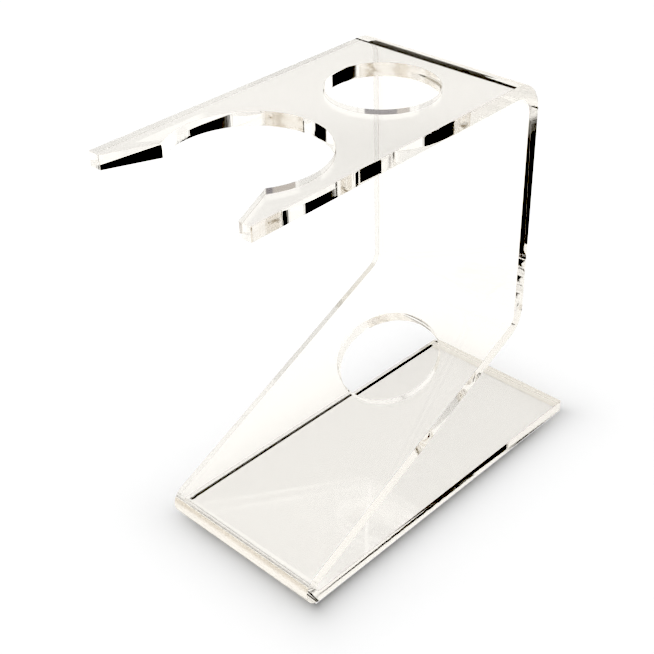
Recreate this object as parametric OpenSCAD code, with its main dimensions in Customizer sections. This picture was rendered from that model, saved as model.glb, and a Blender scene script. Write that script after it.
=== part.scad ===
// Bent clear acrylic stand for a brush and a long-handled tool, cut and folded from one strip.
// The strip lies flat as the base, folds back on itself at the front, climbs as a slope,
// turns up as the back and turns forward as the top. The brush hangs in the open cradle at
// the front of the top. The tool hangs in the round hole behind it, and its handle passes
// through the hole in the slope. X is the width, -Y the front and +Z up. The origin is on
// the ground, below the middle of the whole stand.

/* [Sheet] */
// Width of the strip
strip_w = 50; // [46:1:80]
// Thickness of the acrylic sheet
sheet_t = 3.6; // [3:0.1:6]

/* [Flat lengths between the bends] */
// Base
base_run = 109; // [90:1:130]
// Slope
slope_run = 85; // [80:1:110]
// Back
back_run = 58.5; // [40:0.5:90]

/* [Bends] */
// Angle of the slope above the base
slope_angle = 26; // [22:1:32]
// How far the back leans forward from upright
back_lean = 3; // [0:0.5:6]
// How far the top dips from level towards the arm tips
top_dip = 2; // [0:0.5:5]
// Inside radius of the fold at the front
fold_r = 1.4; // [0.8:0.1:3]
// Inside radius of the bend between the slope and the back
back_r = 4.2; // [2:0.1:8]
// Inside radius of the bend between the back and the top
top_r = 5.4; // [3:0.1:10]

/* [Open cradle at the front of the top] */
// Diameter of the cradle
cradle_d = 38; // [35:1:41]
// Width of the gap where the cradle opens to the front
throat_w = 32; // [20:1:34]
// Width of each arm at its tip
arm_tip_w = 3.4; // [2:0.2:6]
// From the arm tips to the cradle's centre
tip_to_cradle = 23; // [21:0.5:40]

/* [Holes] */
// Diameter of the hole at the rear of the top
rear_hole_d = 28; // [16:0.5:34]
// From the cradle's centre to the rear hole's centre
cradle_to_rear = 44.5; // [42:0.5:60]
// From the rear hole's centre to the bend behind it
rear_to_bend = 20; // [19:0.5:40]
// Diameter of the hole in the slope
slope_hole_d = 29; // [16:0.5:32]
// From the front end of the slope's flat to the centre of its hole
slope_hole_up = 62; // [30:0.5:62]

/* [Hidden] */
$fn = 128;
clear_acrylic = [0.93, 0.94, 0.92, 0.45];
// Angle that one flat step of a bend covers
bend_step = 3;
// A cutter stands this far out of both faces, and past the arm tips
over = 1;

// The side view is drawn in Y and Z, with Y = 0 at the fold's axis until it is centred.
// Each flat has a heading, from +Y towards +Z, and each bend turns about an axis.
function towards(angle) = [cos(angle), sin(angle)];
slope_dir = slope_angle;
back_dir = 90 + back_lean;
top_dir = 180 + top_dip;

top_run = tip_to_cradle + cradle_to_rear + rear_to_bend;
fold_axis = [0, sheet_t + fold_r];
back_axis = fold_axis + slope_run * towards(slope_dir)
    + (fold_r + sheet_t + back_r) * towards(slope_dir + 90);
top_axis = back_axis + back_run * towards(back_dir)
    + (back_r - top_r) * towards(back_dir - 90);
tip_top = top_axis + top_run * towards(top_dir) + (top_r + sheet_t) * towards(top_dir - 90);
tip_under = top_axis + top_run * towards(top_dir) + top_r * towards(top_dir - 90);

// Where the middle of the sheet starts on the slope and on the top
slope_start = fold_axis + (fold_r + sheet_t / 2) * towards(slope_dir + 90);
top_start = top_axis + (top_r + sheet_t / 2) * towards(top_dir - 90);

// The stand's front is the arm tips or the fold, and its middle goes over the origin
front_y = min(tip_top.x, tip_under.x, -fold_r - sheet_t);
middle_y = (base_run + front_y) / 2;

// Half of the mouth's width at the arm tips and where the cradle's lips meet the throat,
// and how much the mouth widens towards the tips
mouth_half = strip_w / 2 - arm_tip_w;
throat_half = throat_w / 2;
throat_reach = sqrt(pow(cradle_d / 2, 2) - pow(throat_half, 2));
mouth_flare = (mouth_half - throat_half) / (tip_to_cradle - throat_reach);

function arc(axis, r, from, to) =
    let (steps = ceil(abs(to - from) / bend_step))
    [for (i = [0:steps]) axis + r * towards(from + (to - from) * i / steps)];

// The strip from the side: its one face from the base's underside to the arm tips, and
// its other face back again
function side_outline() = concat(
    [[base_run, 0]],
    arc(fold_axis, fold_r + sheet_t, 270, slope_dir + 90),
    arc(back_axis, back_r, slope_dir - 90, back_dir - 90),
    arc(top_axis, top_r, back_dir - 90, top_dir - 90),
    [tip_under, tip_top],
    arc(top_axis, top_r + sheet_t, top_dir - 90, back_dir - 90),
    arc(back_axis, back_r + sheet_t, back_dir - 90, slope_dir - 90),
    arc(fold_axis, fold_r, slope_dir + 90, 270),
    [[base_run, sheet_t]]
);

module folded_strip()
    rotate([90, 0, 90]) linear_extrude(strip_w, center = true) polygon(side_outline());

// Places a cutter on a flat: X across, +Y along the flat from its start, Z through the sheet
module on_flat(start, dir, along)
    translate([0, start.x, start.y]) rotate([dir, 0, 0]) translate([0, along, 0]) children();

module round_hole(d) cylinder(d = d, h = sheet_t + 2 * over, center = true);

// The cradle and its flared mouth, which starts inside the cradle and runs past the arm tips
module cradle_cut() {
    near_half = throat_half - mouth_flare * over;
    tip_half = mouth_half + mouth_flare * over;
    near = throat_reach - over;
    tip = tip_to_cradle + over;
    round_hole(cradle_d);
    linear_extrude(sheet_t + 2 * over, center = true)
        polygon([[-near_half, near], [near_half, near], [tip_half, tip], [-tip_half, tip]]);
}

module bent_acrylic_strip()
    color(clear_acrylic)
        translate([0, -middle_y, 0])
            difference() {
                folded_strip();
                on_flat(slope_start, slope_dir, slope_hole_up) round_hole(slope_hole_d);
                on_flat(top_start, top_dir, rear_to_bend) round_hole(rear_hole_d);
                on_flat(top_start, top_dir, rear_to_bend + cradle_to_rear) cradle_cut();
            }

bent_acrylic_strip();
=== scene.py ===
"""Clear acrylic brush and razor stand: one strip, bent three times, on a plain pale floor."""

import math

import bpy
import numpy as np
from mathutils import Matrix, Vector
from mathutils.geometry import delaunay_2d_cdt


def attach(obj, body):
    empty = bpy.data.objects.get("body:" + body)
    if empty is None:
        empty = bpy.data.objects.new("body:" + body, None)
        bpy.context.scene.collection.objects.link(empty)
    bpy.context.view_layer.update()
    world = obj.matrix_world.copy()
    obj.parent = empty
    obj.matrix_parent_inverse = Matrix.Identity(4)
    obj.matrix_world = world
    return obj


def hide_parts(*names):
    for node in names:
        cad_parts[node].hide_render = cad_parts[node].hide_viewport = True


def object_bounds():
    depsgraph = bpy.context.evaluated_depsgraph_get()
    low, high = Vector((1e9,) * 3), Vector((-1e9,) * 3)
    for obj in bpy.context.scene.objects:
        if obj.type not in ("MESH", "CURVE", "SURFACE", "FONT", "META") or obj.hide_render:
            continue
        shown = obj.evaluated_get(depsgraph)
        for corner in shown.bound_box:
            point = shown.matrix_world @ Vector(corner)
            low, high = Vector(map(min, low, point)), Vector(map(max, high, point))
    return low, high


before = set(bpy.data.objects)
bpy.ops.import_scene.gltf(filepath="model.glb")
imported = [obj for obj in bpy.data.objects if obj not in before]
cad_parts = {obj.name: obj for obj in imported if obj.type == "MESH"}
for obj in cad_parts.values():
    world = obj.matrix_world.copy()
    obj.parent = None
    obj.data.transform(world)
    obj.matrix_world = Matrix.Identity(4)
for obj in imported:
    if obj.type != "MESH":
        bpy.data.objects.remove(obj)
cad_low, cad_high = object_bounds()

MM = 0.001

# ---------------------------------------------------------------- the strip, in mm
WIDTH = 50.0
THICK = 3.6
HALF_W, HALF_T = WIDTH / 2, THICK / 2
SLOPE_HOLE_R, SLOPE_HOLE_UP = 14.5, 62.0
REAR_HOLE_R, REAR_TO_BEND = 14.0, 20.0
CRADLE_R, CRADLE_TO_REAR, TIP_TO_CRADLE = 19.0, 44.5, 23.0
THROAT_HALF, MOUTH_HALF = 16.0, HALF_W - 3.4

# Each run of the strip from the base's rear end to the arm tips: its name, its length
# (a flat) or its turn in degrees (a bend), and the bend's radius at mid-sheet
RUNS = [
    ("base", 109.0, None),
    ("fold", -154.0, 1.4 + HALF_T),
    ("slope", 85.0, None),
    ("lower_bend", 67.0, 4.2 + HALF_T),
    ("back", 58.5, None),
    ("top_bend", 89.0, 5.4 + HALF_T),
    ("top", REAR_TO_BEND + CRADLE_TO_REAR + TIP_TO_CRADLE, None),
]

ARRIS = 0.05  # radius of the eased edges
CORNER = 0.4  # radius of the outline's corners

# how fine the mesh is
ARRIS_STEPS = 3
WALL_ROWS = 3  # rows of vertices between the two arrises of a wall
BEND_STEP = 1.5  # degrees between rows in a bend
ROUND_STEP = 1.5  # degrees between the points of a hole
CORNER_STEP = 15.0  # degrees between the points of a corner
SIDE_STEP, TIP_STEP, FLARE_STEP = 2.0, 0.5, 1.0  # mm between the points of a straight edge
COLUMNS = 25  # columns across a bend
GRID_STEP, GRID_SIDE = 4.0, 22.0  # mm between the inner points of a flat, and their largest x
GRID_START, GRID_STOP = 3.0, 2.0  # mm without inner points at a flat's two ends
HOLE_MARGIN, MOUTH_MARGIN = 1.5, 1.0  # mm without inner points round a cut
SAME = 1e-6  # points closer than this, in mm, are one point
DIGITS = 5  # decimals of a mm that tell two vertices apart
ALL_TRIANGLES, CDT_EPSILON = 0, 1e-7  # for the triangulation


class Strip:
    """Maps the flat blank (x across, s along, n through the sheet) to the bent stand."""

    def __init__(self):
        self.runs = []
        y, z, heading, s = 0.0, HALF_T, math.pi, 0.0
        for name, amount, radius in RUNS:
            if radius is None:
                length, curve = amount, 0.0
            else:
                length = radius * abs(math.radians(amount))
                curve = math.radians(amount) / length
            self.runs.append((name, s, length, y, z, heading, curve))
            (y, z), heading = self._step(y, z, heading, curve, length)
            s += length
        self.length = s
        self.shift = 0.0
        corner = self.place(np.array([[0.0, s, -HALF_T], [0.0, s, HALF_T]]))
        self.shift = -corner[:, 1].min() / 2

    @staticmethod
    def _step(y, z, heading, curve, run):
        if curve == 0:
            return (y + run * math.cos(heading), z + run * math.sin(heading)), heading
        new = heading + curve * run
        return (
            y + (math.sin(new) - math.sin(heading)) / curve,
            z - (math.cos(new) - math.cos(heading)) / curve,
        ), new

    def start(self, name):
        """The s at which a run starts."""
        return next(run[1] for run in self.runs if run[0] == name)

    def place(self, q):
        """Points (x, s, n) of the blank, in mm, as points of the stand."""
        q = np.asarray(q, float)
        x, s, n = q.T
        y, z, heading = np.zeros_like(s), np.zeros_like(s), np.zeros_like(s)
        for i, (_, s0, length, y0, z0, h0, curve) in enumerate(self.runs):
            # the first and the last run go on past the strip's ends
            first, last = i == 0, i == len(self.runs) - 1
            m = (first | (s >= s0)) & (last | (s < s0 + length))
            d = s[m] - s0
            heading[m] = h0 + curve * d
            if curve == 0:
                y[m], z[m] = y0 + d * math.cos(h0), z0 + d * math.sin(h0)
            else:
                y[m] = y0 + (np.sin(heading[m]) - math.sin(h0)) / curve
                z[m] = z0 - (np.cos(heading[m]) - math.cos(h0)) / curve
        return np.column_stack(
            [x, y - n * np.sin(heading) + self.shift, z + n * np.cos(heading)]
        )

    def turn(self, q, normals):
        """Normals of the blank at the points q, as normals of the stand."""
        # the blank's three directions at each point, by central differences
        step = 1e-4
        directions = []
        for k in range(3):
            d = np.zeros(3)
            d[k] = step
            directions.append((self.place(q + d) - self.place(q - d)) / (2 * step))
        gx, gs, gn = directions
        out = (
            np.cross(gs, gn) * normals[:, :1]
            + np.cross(gn, gx) * normals[:, 1:2]
            + np.cross(gx, gs) * normals[:, 2:]
        )
        return out / np.linalg.norm(out, axis=1)[:, None]


strip = Strip()
LENGTH = strip.length
SLOPE_HOLE = (0.0, strip.start("slope") + SLOPE_HOLE_UP)
REAR_HOLE = (0.0, strip.start("top") + REAR_TO_BEND)
CRADLE = (0.0, REAR_HOLE[1] + CRADLE_TO_REAR)
HOLES = ((SLOPE_HOLE, SLOPE_HOLE_R), (REAR_HOLE, REAR_HOLE_R))


# ---------------------------------------------------------------- the cut outline
def arc_points(centre, radius, start, stop, step, outward=1):
    """Points and material-outward normals of an arc, angles in degrees."""
    count = max(2, math.ceil(abs(stop - start) / step))
    a = np.radians(np.linspace(start, stop, count + 1))
    d = np.column_stack([np.cos(a), np.sin(a)])
    return np.array(centre) + radius * d, outward * d


def line_points(a, b, stops):
    """Points of a straight edge from a to b, at both ends and at each stop between them."""
    a, b = np.array(a, float), np.array(b, float)
    along = (b - a) / np.linalg.norm(b - a)
    far = (b - a) @ along
    at = sorted({0.0, far, *(t for t in stops if SAME < t < far - SAME)})
    pts = np.array([a + along * t for t in at])
    out = np.array([along[1], -along[0]])
    return pts, np.tile(out, (len(pts), 1))


def every(step):
    """Stops at equal steps, on past the end of any straight edge, which drops the rest."""
    return np.arange(step, LENGTH, step)


def bend_rows():
    """For each bend, every s that has a row of vertices across the strip."""
    rows = []
    for _, s0, length, *_, curve in strip.runs:
        if curve:
            steps = math.ceil(abs(math.degrees(curve * length)) / BEND_STEP)
            rows.append(np.linspace(s0, s0 + length, steps + 1))
    return rows


BEND_ROWS = bend_rows()


def side_stops():
    """Every s that has a vertex on the strip's two long sides."""
    stops = set()
    for rows in BEND_ROWS:
        stops |= {float(v) for v in rows}
    for _, s0, length, *_, curve in strip.runs:
        if not curve:
            count = max(2, int(length / SIDE_STEP))
            stops |= {float(v) for v in np.linspace(s0, s0 + length, count)}
    return sorted(stops)


def lip_fillet():
    """The rounded lip between the mouth's flared edge and the cradle, on the +x arm."""
    tip = np.array([MOUTH_HALF, LENGTH])
    lip = np.array([THROAT_HALF, CRADLE[1] + math.sqrt(CRADLE_R**2 - THROAT_HALF**2)])
    along = (lip - tip) / np.linalg.norm(lip - tip)
    out = np.array([along[1], -along[0]])  # out of the material, to the right of travel
    start = tip - out * CORNER - np.array(CRADLE)
    # |start + t along| = CRADLE_R + CORNER
    b, c = start @ along, start @ start - (CRADLE_R + CORNER) ** 2
    t = -b - math.sqrt(b * b - c)
    centre = tip - out * CORNER + along * t
    return tip, out, centre


def outline():
    """The strip's outer outline, counter-clockwise in (x, s), with outward normals."""
    stops = side_stops()
    r = CORNER
    tip, out, lip = lip_fillet()
    to_cradle = np.array(CRADLE) - lip
    a_out = math.degrees(math.atan2(out[1], out[0]))
    a_lip = math.degrees(math.atan2(to_cradle[1], to_cradle[0]))
    # the arm tip's inner corner, where the tip edge (outward +s) meets the flared edge
    turn_in = math.radians(a_out - 90.0) % (2 * math.pi)
    reach = r * math.tan(turn_in / 2)
    tip_c = tip + np.array([reach, 0.0]) - np.array([0.0, r])
    a_hit = math.degrees(math.atan2(-to_cradle[1], -to_cradle[0]))
    up = [s - r for s in stops]
    down = [LENGTH - r - s for s in stops]

    def corner(centre, start, stop):
        return arc_points(centre, r, start, stop, CORNER_STEP)

    # the tip of the +x arm and the mouth's flared edge, as far as the cradle
    arm = [
        line_points((HALF_W - r, LENGTH), (tip_c[0], LENGTH), every(TIP_STEP)),
        corner(tip_c, 90, a_out % 360),
        line_points(tip_c + out * r, lip + out * r, every(FLARE_STEP)),
        corner(lip, a_out % 360, a_lip % 360),
    ]
    flip = np.array([-1.0, 1.0])
    other_arm = [(pts[::-1] * flip, nor[::-1] * flip) for pts, nor in reversed(arm)]
    return weld([
        line_points((-HALF_W + r, 0), (HALF_W - r, 0), every(SIDE_STEP)),
        corner((HALF_W - r, r), -90, 0),
        line_points((HALF_W, r), (HALF_W, LENGTH - r), up),
        corner((HALF_W - r, LENGTH - r), 0, 90),
        *arm,
        arc_points(CRADLE, CRADLE_R, a_hit, -180 - a_hit, ROUND_STEP, -1),
        *other_arm,
        corner((-HALF_W + r, LENGTH - r), 90, 180),
        line_points((-HALF_W, LENGTH - r), (-HALF_W, r), down),
        corner((-HALF_W + r, r), 180, 270),
    ])


def weld(parts):
    """One closed loop of the parts' points and normals, without doubled points."""
    pts, nor = [], []
    for p, n in parts:
        for a, b in zip(p, n):
            if pts and np.linalg.norm(a - pts[-1]) < SAME:
                continue
            pts.append(a)
            nor.append(b)
    if np.linalg.norm(pts[0] - pts[-1]) < SAME:
        pts.pop()
        nor.pop()
    return np.array(pts), np.array(nor)


def round_loop(centre, radius):
    """A hole's rim, clockwise, so that the material is on its left."""
    p, n = arc_points(centre, radius, 360, 0, ROUND_STEP, -1)
    return p[:-1], n[:-1]


# ---------------------------------------------------------------- the mesh
def key(*values):
    """The same key for points that are one point."""
    return tuple(round(float(v), DIGITS) for v in values)


class Blank:
    """Collects welded vertices (x, s, n) with their flat normals, and faces."""

    def __init__(self):
        self.index, self.at, self.normal = {}, [], []
        self.faces, self.walls = [], []

    def vert(self, x, s, n, normal):
        k = key(x, s, n)
        if k not in self.index:
            self.index[k] = len(self.at)
            self.at.append((float(x), float(s), float(n)))
            self.normal.append(normal)
        return self.index[k]

    def face(self, ids, wall):
        self.faces.append(ids)
        self.walls.append(wall)


def rim(blank, loop):
    """The wall of one loop with its eased arrises. Returns the loop's inset points."""
    pts, nor = loop
    middle = HALF_T - ARRIS  # how far the wall is plain, from mid-sheet
    # each row's inset, its place through the sheet, and its normal's angle
    profile = []
    for i in range(ARRIS_STEPS + 1):
        a = math.pi / 2 * (1 - i / ARRIS_STEPS)
        profile.append((ARRIS * (1 - math.cos(a)), middle + ARRIS * math.sin(a), a))
    for n in np.linspace(middle, -middle, WALL_ROWS + 2)[1:-1]:
        profile.append((0.0, n, 0.0))
    for i in range(ARRIS_STEPS + 1):
        a = math.pi / 2 * i / ARRIS_STEPS
        profile.append((ARRIS * (1 - math.cos(a)), -middle - ARRIS * math.sin(a), -a))
    rows = []
    for inset, n, a in profile:
        row = []
        for p, m in zip(pts, nor):
            x, s = p - m * inset
            normal = (m[0] * math.cos(a), m[1] * math.cos(a), math.sin(a))
            row.append(blank.vert(x, s, n, normal))
        rows.append(row)
    count = len(pts)
    for up, low in zip(rows, rows[1:]):
        for i in range(count):
            j = (i + 1) % count
            blank.face([up[i], low[i], low[j], up[j]], True)
    return pts - nor * ARRIS


def inside(points, loop):
    """Which points lie inside a closed loop."""
    x, y = points[:, 0][:, None], points[:, 1][:, None]
    x0, y0 = loop[:, 0], loop[:, 1]
    x1, y1 = np.roll(x0, -1), np.roll(y0, -1)
    cross = (y0 > y) != (y1 > y)
    with np.errstate(divide="ignore", invalid="ignore"):
        at = x0 + (y - y0) / (y1 - y0) * (x1 - x0)
    return ((cross & (x < at)).sum(1) % 2) == 1


def add_bends(blank, columns):
    """Both faces of each bend, as quads between its rows."""
    for rows in BEND_ROWS:
        for side in (1, -1):
            ids = [[blank.vert(x, s, side * HALF_T, (0, 0, side)) for x in columns] for s in rows]
            for a, b in zip(ids, ids[1:]):
                for i in range(COLUMNS - 1):
                    quad = [a[i], a[i + 1], b[i + 1], b[i]]
                    blank.face(quad if side > 0 else quad[::-1], False)


def inner_points(rim_loop):
    """A loose grid of points inside the flats, clear of every cut."""
    grid = []
    for _, s0, length, *_, curve in strip.runs:
        if curve:
            continue
        for s in np.arange(s0 + GRID_START, s0 + length - GRID_STOP, GRID_STEP):
            for x in np.arange(-GRID_SIDE, GRID_SIDE + SAME, GRID_STEP):
                grid.append((x, s))
    grid = np.array(grid)
    keep = inside(grid, rim_loop)
    for centre, radius in (*HOLES, (CRADLE, CRADLE_R)):
        keep &= np.linalg.norm(grid - np.array(centre), axis=1) > radius + HOLE_MARGIN
    in_mouth = (grid[:, 1] > CRADLE[1]) & (np.abs(grid[:, 0]) < MOUTH_HALF + MOUTH_MARGIN)
    return grid[keep & ~in_mouth]


def add_flats(blank, columns, insets):
    """Both faces of the flats: the outline between two bends and its holes, triangulated."""
    pts, edges = [], []
    index = {}

    def add(p):
        k = key(*p)
        if k not in index:
            index[k] = len(pts)
            pts.append((float(p[0]), float(p[1])))
        return index[k]

    for loop in insets:
        ids = [add(p) for p in loop]
        edges += list(zip(ids, ids[1:] + ids[:1]))
    for rows in BEND_ROWS:
        for s in (rows[0], rows[-1]):
            ids = [add((x, s)) for x in columns]
            edges += list(zip(ids, ids[1:]))
    for p in inner_points(insets[0]):
        add(p)
    made = delaunay_2d_cdt([Vector(p) for p in pts], edges, [], ALL_TRIANGLES, CDT_EPSILON)
    # its points are single precision, so the ones that went in are used
    source = [old[0] for old in made[3]]
    co = np.array(pts)[source]
    triangles = np.array(made[2])
    mid = co[triangles].mean(1)
    keep = inside(mid, insets[0]) & ~inside(mid, insets[1]) & ~inside(mid, insets[2])
    for rows in BEND_ROWS:
        keep &= ~((mid[:, 1] > rows[0]) & (mid[:, 1] < rows[-1]))
    for triangle in triangles[keep]:
        p = co[triangle]
        u, v = p[1] - p[0], p[2] - p[0]
        if u[0] * v[1] - v[0] * u[1] < 0:
            p = p[::-1]
        for side in (1, -1):
            ids = [blank.vert(q[0], q[1], side * HALF_T, (0, 0, side)) for q in p]
            blank.face(ids if side > 0 else ids[::-1], False)


def build_blank():
    blank = Blank()
    loops = [outline(), *(round_loop(*hole) for hole in HOLES)]
    insets = [rim(blank, loop) for loop in loops]
    edge = HALF_W - ARRIS
    columns = np.linspace(-edge, edge, COLUMNS)
    add_bends(blank, columns)
    add_flats(blank, columns, insets)
    return blank


def make_strip():
    """The stand's mesh object. Its UV map is the blank, in metres."""
    blank = build_blank()
    flat = np.array(blank.at)
    pos = strip.place(flat) * MM
    nor = strip.turn(flat, np.array(blank.normal, float))
    me = bpy.data.meshes.new("acrylic_strip")
    me.from_pydata([tuple(p) for p in pos], [], blank.faces)
    me.polygons.foreach_set("use_smooth", [True] * len(blank.faces))
    me.polygons.foreach_set("material_index", [int(wall) for wall in blank.walls])
    me.normals_split_custom_set_from_vertices([tuple(v) for v in nor])
    uv = me.uv_layers.new(name="blank")
    loops = np.zeros(len(me.loops), np.int32)
    me.loops.foreach_get("vertex_index", loops)
    uv.data.foreach_set("uv", (flat[loops][:, :2] * MM).ravel())
    me.update()
    ob = bpy.data.objects.new("acrylic_strip", me)
    bpy.context.scene.collection.objects.link(ob)
    return ob


stand = make_strip()
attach(stand, "root")
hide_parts("bent_acrylic_strip")


# ---------------------------------------------------------------- camera
AZIMUTH, ELEVATION, ROLL = 42.751, 33.179, 0.310  # degrees
DISTANCE = 317.228 * MM
LENS, SENSOR = 63.993, 36.0
CLIP = (0.01, 50.0)
# the point that the camera looks at, from the middle of the base's rear edge
TARGET = Vector((-12.270 * MM, cad_high.y - 66.827 * MM, 46.0 * MM))


def make_camera():
    a, e, r = (math.radians(v) for v in (AZIMUTH, ELEVATION, ROLL))
    back = Vector((math.sin(a) * math.cos(e), -math.cos(a) * math.cos(e), math.sin(e)))
    right = Vector((math.cos(a), math.sin(a), 0))
    up = back.cross(right)
    right, up = math.cos(r) * right + math.sin(r) * up, -math.sin(r) * right + math.cos(r) * up
    data = bpy.data.cameras.new("camera")
    data.lens, data.sensor_width = LENS, SENSOR
    data.clip_start, data.clip_end = CLIP
    cam = bpy.data.objects.new("camera", data)
    m = Matrix((right, up, back)).transposed().to_4x4()
    m.translation = TARGET + back * DISTANCE
    cam.matrix_world = m
    bpy.context.scene.collection.objects.link(cam)
    bpy.context.scene.camera = cam


make_camera()


# ---------------------------------------------------------------- node helpers
class Nodes:
    """Short calls that add and link the nodes of one tree."""

    def __init__(self, tree):
        self.tree = tree

    def add(self, kind, **settings):
        node = self.tree.nodes.new(kind)
        for setting, value in settings.items():
            setattr(node, setting, value)
        return node

    def feed(self, socket, value):
        if isinstance(value, bpy.types.NodeSocket):
            self.tree.links.new(value, socket)
        else:
            socket.default_value = value

    def math(self, operation, *values):
        node = self.add("ShaderNodeMath", operation=operation)
        for socket, value in zip(node.inputs, values):
            self.feed(socket, value)
        return node.outputs[0]

    def product(self, first, *others):
        for value in others:
            first = self.math("MULTIPLY", first, value)
        return first

    def invert(self, share):
        return self.math("SUBTRACT", 1.0, share)

    def above(self, value, limit):
        return self.math("GREATER_THAN", value, limit)

    def below(self, value, limit):
        return self.math("LESS_THAN", value, limit)

    def ramp(self, value, low, high, out_low=0.0, out_high=1.0):
        """Smooth step of value from low..high to out_low..out_high."""
        node = self.add("ShaderNodeMapRange", interpolation_type="SMOOTHSTEP")
        for socket, v in zip(node.inputs, (value, low, high, out_low, out_high)):
            self.feed(socket, v)
        return node.outputs[0]

    def between(self, value, low, high, soft):
        """1 inside low..high, with soft edges."""
        rise = self.ramp(value, low - soft / 2, low + soft / 2)
        fall = self.ramp(value, high - soft / 2, high + soft / 2, 1.0, 0.0)
        return self.product(rise, fall)

    def noise(self, vector, scale, detail, roughness=0.5):
        node = self.add("ShaderNodeTexNoise", noise_dimensions="3D")
        self.feed(node.inputs["Vector"], vector)
        for label, v in (("Scale", scale), ("Detail", detail), ("Roughness", roughness)):
            self.feed(node.inputs[label], v)
        return node.outputs[0]

    def mix_colour(self, share, first, second):
        node = self.add("ShaderNodeMix", data_type="RGBA")
        for i, value in ((0, share), (6, first), (7, second)):
            self.feed(node.inputs[i], value)
        return node.outputs[2]

    def mix_shader(self, share, first, second):
        node = self.add("ShaderNodeMixShader")
        for socket, value in zip(node.inputs, (share, first, second)):
            self.feed(socket, value)
        return node.outputs[0]

    def surface(self, shader):
        self.feed(self.tree.nodes["Material Output"].inputs["Surface"], shader)


def new_material(name):
    """A new material, the helper of its node tree, and its own shader."""
    mat = bpy.data.materials.new(name)
    mat.use_nodes = True
    return mat, Nodes(mat.node_tree), mat.node_tree.nodes["Principled BSDF"]


def matte(paint, roughness, colour=None):
    """A surface without gloss. Its colour may come from nodes instead."""
    if colour:
        paint.inputs["Base Color"].default_value = colour
    paint.inputs["Roughness"].default_value = roughness
    paint.inputs["Specular IOR Level"].default_value = 0.0


# ---------------------------------------------------------------- acrylic
IOR = 1.49
TINT = (0.76, 0.71, 0.63, 1)  # absorption colour of the sheet, slightly warm
TINT_DENSITY = 3.0  # per metre
CUT_BUMP = (0.6, 0.00005)  # strength, and depth in metres
FACE_BUMP = (0.15, 0.00002)
CUT_ROUGH, FACE_ROUGH = 0.07, 0.03  # at the roughest spots
# scales of the noises, per metre
FINE_LINES, SLOW_LINES, WORN_LINES = 2600.0, 330.0, 900.0
WAVES, RUBBING = 38.0, 90.0
# the part of a noise's range over which the surface turns rough
WORN_RANGE, RUBBED_RANGE = (0.45, 0.75), (0.56, 0.74)


def acrylic(name, cut):
    """Cast acrylic: polished faces with faint smudges, or a laser-cut edge with fine lines."""
    mat, n, p = new_material(name)
    p.inputs["Base Color"].default_value = (1, 1, 1, 1)
    p.inputs["IOR"].default_value = IOR
    p.inputs["Transmission Weight"].default_value = 1.0
    if cut:
        # the beam leaves lines straight through the sheet: the blank's (x, s) is the same all
        # the way through, so a noise of it is a row of such lines
        blank = n.add("ShaderNodeUVMap", uv_map="blank").outputs[0]
        fine = n.noise(blank, FINE_LINES, 2.0, 0.6)
        slow = n.noise(blank, SLOW_LINES, 1.0)
        height = n.math("ADD", n.product(fine, 0.25), slow)
        strength, distance = CUT_BUMP
        rough = n.ramp(n.noise(blank, WORN_LINES, 2.0), *WORN_RANGE, 0.0, CUT_ROUGH)
    else:
        where = n.add("ShaderNodeTexCoord").outputs["Object"]
        height = n.noise(where, WAVES, 1.0)
        strength, distance = FACE_BUMP
        rough = n.ramp(n.noise(where, RUBBING, 5.0, 0.65), *RUBBED_RANGE, 0.0, FACE_ROUGH)
    n.feed(p.inputs["Roughness"], rough)
    bump = n.add("ShaderNodeBump")
    bump.inputs["Strength"].default_value = strength
    bump.inputs["Distance"].default_value = distance
    n.feed(bump.inputs["Height"], height)
    n.feed(p.inputs["Normal"], bump.outputs[0])

    body = n.add("ShaderNodeVolumeAbsorption")
    body.inputs["Color"].default_value = TINT
    body.inputs["Density"].default_value = TINT_DENSITY
    n.feed(n.tree.nodes["Material Output"].inputs["Volume"], body.outputs[0])
    return mat


stand.data.materials.append(acrylic("acrylic_face", False))
stand.data.materials.append(acrylic("acrylic_cut_edge", True))


# ---------------------------------------------------------------- tent
LIGHT = (1.0, 0.98, 0.94, 1)
TENT_LIGHT = 1.14
DEEP = 6  # mirror bounces of a ray that has run along inside the sheet
ANY = 999  # no upper limit of bounces
# The room is a white tent with a few dark places, in degrees: from and to azimuth (from +X
# towards +Y), from and to elevation, and the least and most mirror bounces of a ray that
# sees one. The cut edges show them as the black bars of a clear sheet.
STEPPED_WALL = (105.4, 145.0, 19.5, 45.5, 1, 7)
DARK = [
    STEPPED_WALL,
    (119.0, 150.5, -60.0, 20.0, 1, 1),
    (25.0, 65.0, 12.0, 36.0, 2, 3),
    (157.3, 162.0, 28.0, 32.0, 1, 7),
    (115.0, 123.4, -38.5, -22.6, DEEP, ANY),
    (-126.0, -115.0, -38.5, -27.2, DEEP, ANY),
]
# the stepped wall's far side, past the azimuth STEPS_PAST, reaches this much further from each
# elevation up
STEPS_PAST = 120.0
STEPS = [(25.2, -4.3), (26.25, 12.8), (27.6, -6.0)]
# places that are grey in the faces' outer mirror images: azimuths, elevations, and the share
GREY = [(98.0, 155.0, 2.0, 26.0, 0.32), (98.0, 155.0, 26.0, 75.0, 1.0)]
DARK_SOFT, GREY_SOFT = 0.8, 3.0  # degrees over which they fade


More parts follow.
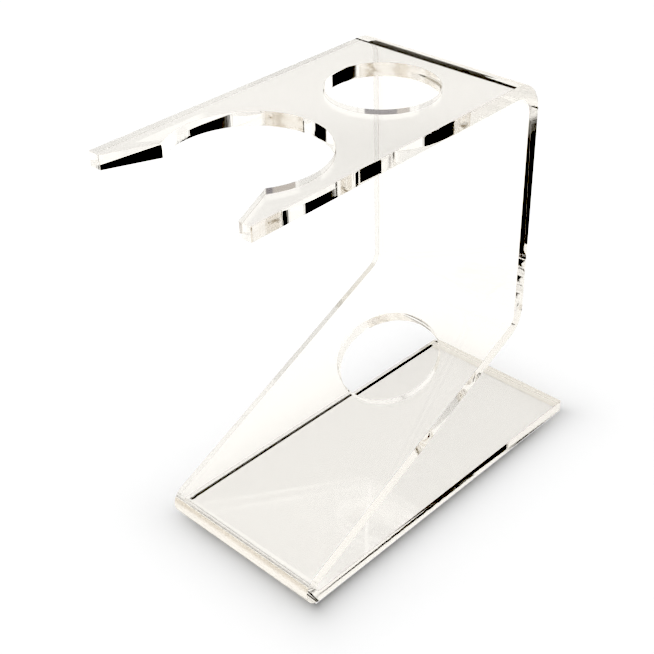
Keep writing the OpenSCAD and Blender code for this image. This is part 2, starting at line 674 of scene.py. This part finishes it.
def tent():
    """White light from all round, with the dark places that mirror rays see."""
    world = bpy.data.worlds.new("tent")
    bpy.context.scene.world = world
    world.use_nodes = True
    n = Nodes(world.node_tree)
    ray = n.add("ShaderNodeLightPath")
    bounces = ray.outputs["Glossy Depth"]
    inner = n.above(ray.outputs["Transmission Depth"], 0.5)
    outer = n.product(n.above(bounces, 0.5), n.invert(inner))
    axes = n.add("ShaderNodeSeparateXYZ")
    n.feed(axes.inputs[0], n.add("ShaderNodeTexCoord").outputs["Generated"])
    azimuth = n.math("DEGREES", n.math("ARCTAN2", axes.outputs["Y"], axes.outputs["X"]))
    elevation = n.math("DEGREES", n.math("ARCSINE", axes.outputs["Z"]))

    further = 0.0
    for from_el, step in STEPS:
        further = n.math("ADD", further, n.product(n.above(elevation, from_el), step))
    past = n.above(azimuth, STEPS_PAST)
    stepped = n.math("SUBTRACT", azimuth, n.product(past, further))

    lit = 1.0
    for place in DARK:
        from_az, to_az, from_el, to_el, least, most = place
        across = stepped if place is STEPPED_WALL else azimuth
        zone = n.product(
            n.between(across, from_az, to_az, DARK_SOFT),
            n.between(elevation, from_el, to_el, DARK_SOFT),
        )
        seen = n.product(n.above(bounces, least - 0.5), inner, n.below(bounces, most + 0.5))
        lit = n.product(lit, n.invert(n.product(zone, seen)))
    for from_az, to_az, from_el, to_el, share in GREY:
        zone = n.product(
            n.between(azimuth, from_az, to_az, GREY_SOFT),
            n.between(elevation, from_el, to_el, GREY_SOFT),
        )
        lit = n.product(lit, n.invert(n.product(zone, outer, share)))
    background = n.tree.nodes["Background"]
    background.inputs["Color"].default_value = LIGHT
    n.feed(background.inputs["Strength"], n.product(lit, TENT_LIGHT))


# ---------------------------------------------------------------- table
TABLE_SIZE, TABLE_Z = 8.0, -0.00015
BLACK = (0.0, 0.0, 0.0, 1)
PAPER = (0.955, 0.955, 0.955, 1)
PAPER_SEEN = (0.911, 0.93, 0.97, 1)  # as the camera itself sees it, against the warm light
PAINTED_WARM_REFLECTION = (0.80, 0.785, 0.755, 1)  # painted reflection: the darker, warm tone that mirror images of the strips beside the base show
BASE_REAR, BASE_FRONT = cad_high.y, cad_high.y - 0.109  # where the base meets the table
FOLD_FRONT = BASE_FRONT - 0.0016  # front of the fold as the shadow shows it

# the soft shadow: its share at the base's edge and the distance, in metres, that it fades over
CONTACT_SHADE, ROUND_SHADE = (0.52, 0.0026), (0.15, 0.012)
FACING = (-0.3, 0.45)  # the contact shade grows over this, from rear left to front right
UNDER_SHADE, UNDER_EDGE = 0.065, 0.00005  # share under the base, and where that begins
SHADE_BOUNCES = 2.5  # rays with more mirror bounces see no shadow

# painted reflection, in strips of darker warm tone that only mirror rays see: along the base's
# left edge, and behind its rear edge
WARM_LEFT_X = (-0.036, -0.027)
WARM_REAR_X, WARM_REAR_Y = (-0.036, 0.036), (0.058, 0.090)
WARM_SOFT = 0.001

# what long paths inside the sheet see: right of x = ROOM_X they look through the table to the
# room below, and behind y = 0 that begins ROOM_STEP further
ROOM_X, ROOM_STEP = -0.1195, -0.0215
# a dark wedge beside the base, a painted contact shadow along its left edge that only long paths
# see: its middle leans, and it widens from WEDGE_FRONT on
WEDGE_FRONT, WEDGE_REAR = -0.005, 0.050
WEDGE_X, WEDGE_LEAN = -0.0262, -0.025
WEDGE_HALF, WEDGE_SPREAD = 0.0002, 0.0054
# a dark patch further out, for a limited number of bounces
PATCH_X, PATCH_Y, PATCH_BOUNCES = (-0.080, -0.043), (0.0165, 0.120), 8.5
PATCH_SOFT_X, PATCH_SOFT_Y = 0.0005, 0.001
# what a single bounce inside the sheet sees as dark, far behind the stand on its left
BEHIND_X, BEHIND_Y, BEHIND_SLANT = -0.085, 0.135, 0.575
RIGHT_GAP = 0.0005  # the table right of the base begins this far off it


def plane(name, x_range, y_range, z):
    """A flat rectangle that belongs to the stage."""
    middle = ((x_range[0] + x_range[1]) / 2, (y_range[0] + y_range[1]) / 2, z)
    bpy.ops.mesh.primitive_plane_add(size=1, location=middle)
    ob = bpy.context.object
    ob.name = name
    ob.scale = (x_range[1] - x_range[0], y_range[1] - y_range[0], 1)
    return ob


def shadow(n, x, y, bounces):
    """The share of black of the stand's soft shadow at a point of the table."""
    half_x = cad_high.x
    mid_y, half_y = (BASE_REAR + FOLD_FRONT) / 2, (BASE_REAR - FOLD_FRONT) / 2
    y = n.math("SUBTRACT", y, mid_y)
    off_x = n.math("MAXIMUM", n.math("SUBTRACT", n.math("ABSOLUTE", x), half_x), 0.0)
    off_y = n.math("MAXIMUM", n.math("SUBTRACT", n.math("ABSOLUTE", y), half_y), 0.0)
    off = n.math("SQRT", n.math("ADD", n.math("POWER", off_x, 2.0), n.math("POWER", off_y, 2.0)))
    # strongest along the base's front and right edges
    side = n.math("SUBTRACT", n.math("DIVIDE", x, half_x), n.math("DIVIDE", y, half_y))
    facing = n.ramp(side, *FACING)

    def fade(share, length):
        return n.product(share, n.math("EXPONENT", n.math("DIVIDE", off, -length)))

    contact = fade(n.product(facing, CONTACT_SHADE[0]), CONTACT_SHADE[1])
    shade = n.math("ADD", contact, fade(*ROUND_SHADE))
    out = n.above(off, UNDER_EDGE)
    shade = n.math("ADD", n.product(shade, out), n.product(n.invert(out), UNDER_SHADE))
    return n.product(shade, n.below(bounces, SHADE_BOUNCES))


def beside_base(n, x, y, bounces):
    """1 on the dark wedge of painted contact shadow and the dark patch that only long paths see.
    """
    along = n.math("SUBTRACT", y, WEDGE_FRONT)
    middle = n.math("ADD", n.product(along, WEDGE_LEAN), WEDGE_X)
    half = n.math("ADD", n.product(along, WEDGE_SPREAD), WEDGE_HALF)
    off = n.math("ABSOLUTE", n.math("SUBTRACT", x, middle))
    # painted contact shadow beside the base's left edge
    wedge = n.product(n.below(off, half), n.below(y, WEDGE_REAR))
    patch = n.product(
        n.between(x, *PATCH_X, PATCH_SOFT_X),
        n.between(y, *PATCH_Y, PATCH_SOFT_Y),
        n.below(bounces, PATCH_BOUNCES),
    )
    return n.math("MAXIMUM", wedge, patch)


def table():
    """Pale table top, with the stand's soft shadow on it and what mirror rays see there."""
    half = TABLE_SIZE / 2
    floor = plane("table", (-half, half), (-half, half), TABLE_Z)
    mat, n, paper = new_material("table")
    ray = n.add("ShaderNodeLightPath")
    bounces = ray.outputs["Glossy Depth"]
    place = n.add("ShaderNodeSeparateXYZ")
    n.feed(place.inputs[0], n.add("ShaderNodeNewGeometry").outputs["Position"])
    x, y = place.outputs["X"], place.outputs["Y"]
    mirrored = n.above(bounces, 0.5)

    warm = n.math(
        "MAXIMUM",
        n.between(x, *WARM_LEFT_X, WARM_SOFT),
        n.product(n.between(y, *WARM_REAR_Y, WARM_SOFT), n.between(x, *WARM_REAR_X, WARM_SOFT)),
    )
    tone = n.mix_colour(ray.outputs["Is Camera Ray"], PAPER, PAPER_SEEN)
    # painted reflection: the warm strips tint only what mirror rays see
    tone = n.mix_colour(n.product(mirrored, warm), tone, PAINTED_WARM_REFLECTION)
    tone = n.mix_colour(shadow(n, x, y, bounces), tone, BLACK)
    n.feed(paper.inputs["Base Color"], tone)
    matte(paper, 0.9)

    # mirror images off the outside of the right edges are dark, as they look out past the
    # table, and so are single bounces inside the sheet that look far behind the stand
    outside = n.below(ray.outputs["Transmission Depth"], 0.5)
    past = n.product(n.above(x, cad_high.x + RIGHT_GAP), outside, mirrored)
    single = n.product(mirrored, n.below(bounces, 1.5))
    slant = n.math("ADD", x, n.product(y, BEHIND_SLANT))
    behind = n.product(n.above(y, BEHIND_Y), n.below(x, BEHIND_X), n.below(slant, 0.0))
    within = n.product(behind, n.invert(outside), single)

    deep = n.above(bounces, DEEP - 0.5)
    beside = beside_base(n, x, y, bounces)
    dark = n.add("ShaderNodeEmission")
    dark.inputs["Strength"].default_value = 0.0
    black = n.math("MAXIMUM", n.math("MAXIMUM", past, within), n.product(deep, beside))
    solid = n.mix_shader(black, paper.outputs[0], dark.outputs[0])
    limit = n.math("ADD", n.product(n.above(y, 0.0), ROOM_STEP), ROOM_X)
    room = n.product(deep, n.above(x, limit), n.invert(beside))
    clear = n.add("ShaderNodeBsdfTransparent")
    n.surface(n.mix_shader(room, solid, clear.outputs[0]))
    floor.data.materials.append(mat)


# ---------------------------------------------------------------- lines and cards
TAN = (0.82, 0.805, 0.775, 1)
LINE_Z, CARD_Z = -0.00008, 0.001
# each line's name, x range, y range and colour
LINES = [
    ("left_line", (-0.02506, -0.02456), (BASE_FRONT + 0.0012, BASE_REAR - 0.0012), BLACK),
    ("rear_line", (-0.0246, 0.0248), (BASE_REAR - 0.0022, BASE_REAR + 0.0001), TAN),
]
CARDS = [
    ("front_card", (0.03, 0.30), (-0.41, -0.09), (0.34, 0.33, 0.35, 1)),
    ("side_card", (0.12, 0.36), (-0.09, 0.03), (0.58, 0.55, 0.53, 1)),
]


def contact_line(name, x_range, y_range, colour):
    """A thin strip of shade on the table, under an edge of the base."""
    line = plane(name, x_range, y_range, LINE_Z)
    mat, _, paint = new_material(name)
    matte(paint, 1.0, colour)
    line.data.materials.append(mat)


def grey_card(name, x_range, y_range, colour):
    """The grey of the camera's side, which only the sheet's mirror images show."""
    card = plane(name, x_range, y_range, CARD_Z)
    mat, n, paint = new_material(name)
    matte(paint, 1.0, colour)
    mirrored = n.above(n.add("ShaderNodeLightPath").outputs["Glossy Depth"], 0.5)
    clear = n.add("ShaderNodeBsdfTransparent")
    n.surface(n.mix_shader(mirrored, clear.outputs[0], paint.outputs[0]))
    card.data.materials.append(mat)
    card.visible_camera = card.visible_diffuse = card.visible_shadow = False


tent()
table()
for card in CARDS:
    grey_card(*card)
for line in LINES:
    contact_line(*line)


# ---------------------------------------------------------------- view and light paths
BLACK_LEVEL = 0.16  # the photograph's levels crush faint reflections in the same way

view = bpy.context.scene.view_settings
view.view_transform = "Standard"
view.use_curve_mapping = True
view.curve_mapping.black_level = (BLACK_LEVEL,) * 3
view.curve_mapping.update()

# long mirror paths inside the clear sheet are followed to their end
cycles = bpy.context.scene.cycles
cycles.max_bounces, cycles.glossy_bounces, cycles.transmission_bounces = 128, 110, 64
cycles.transparent_max_bounces = 16
cycles.blur_glossy = 0.0
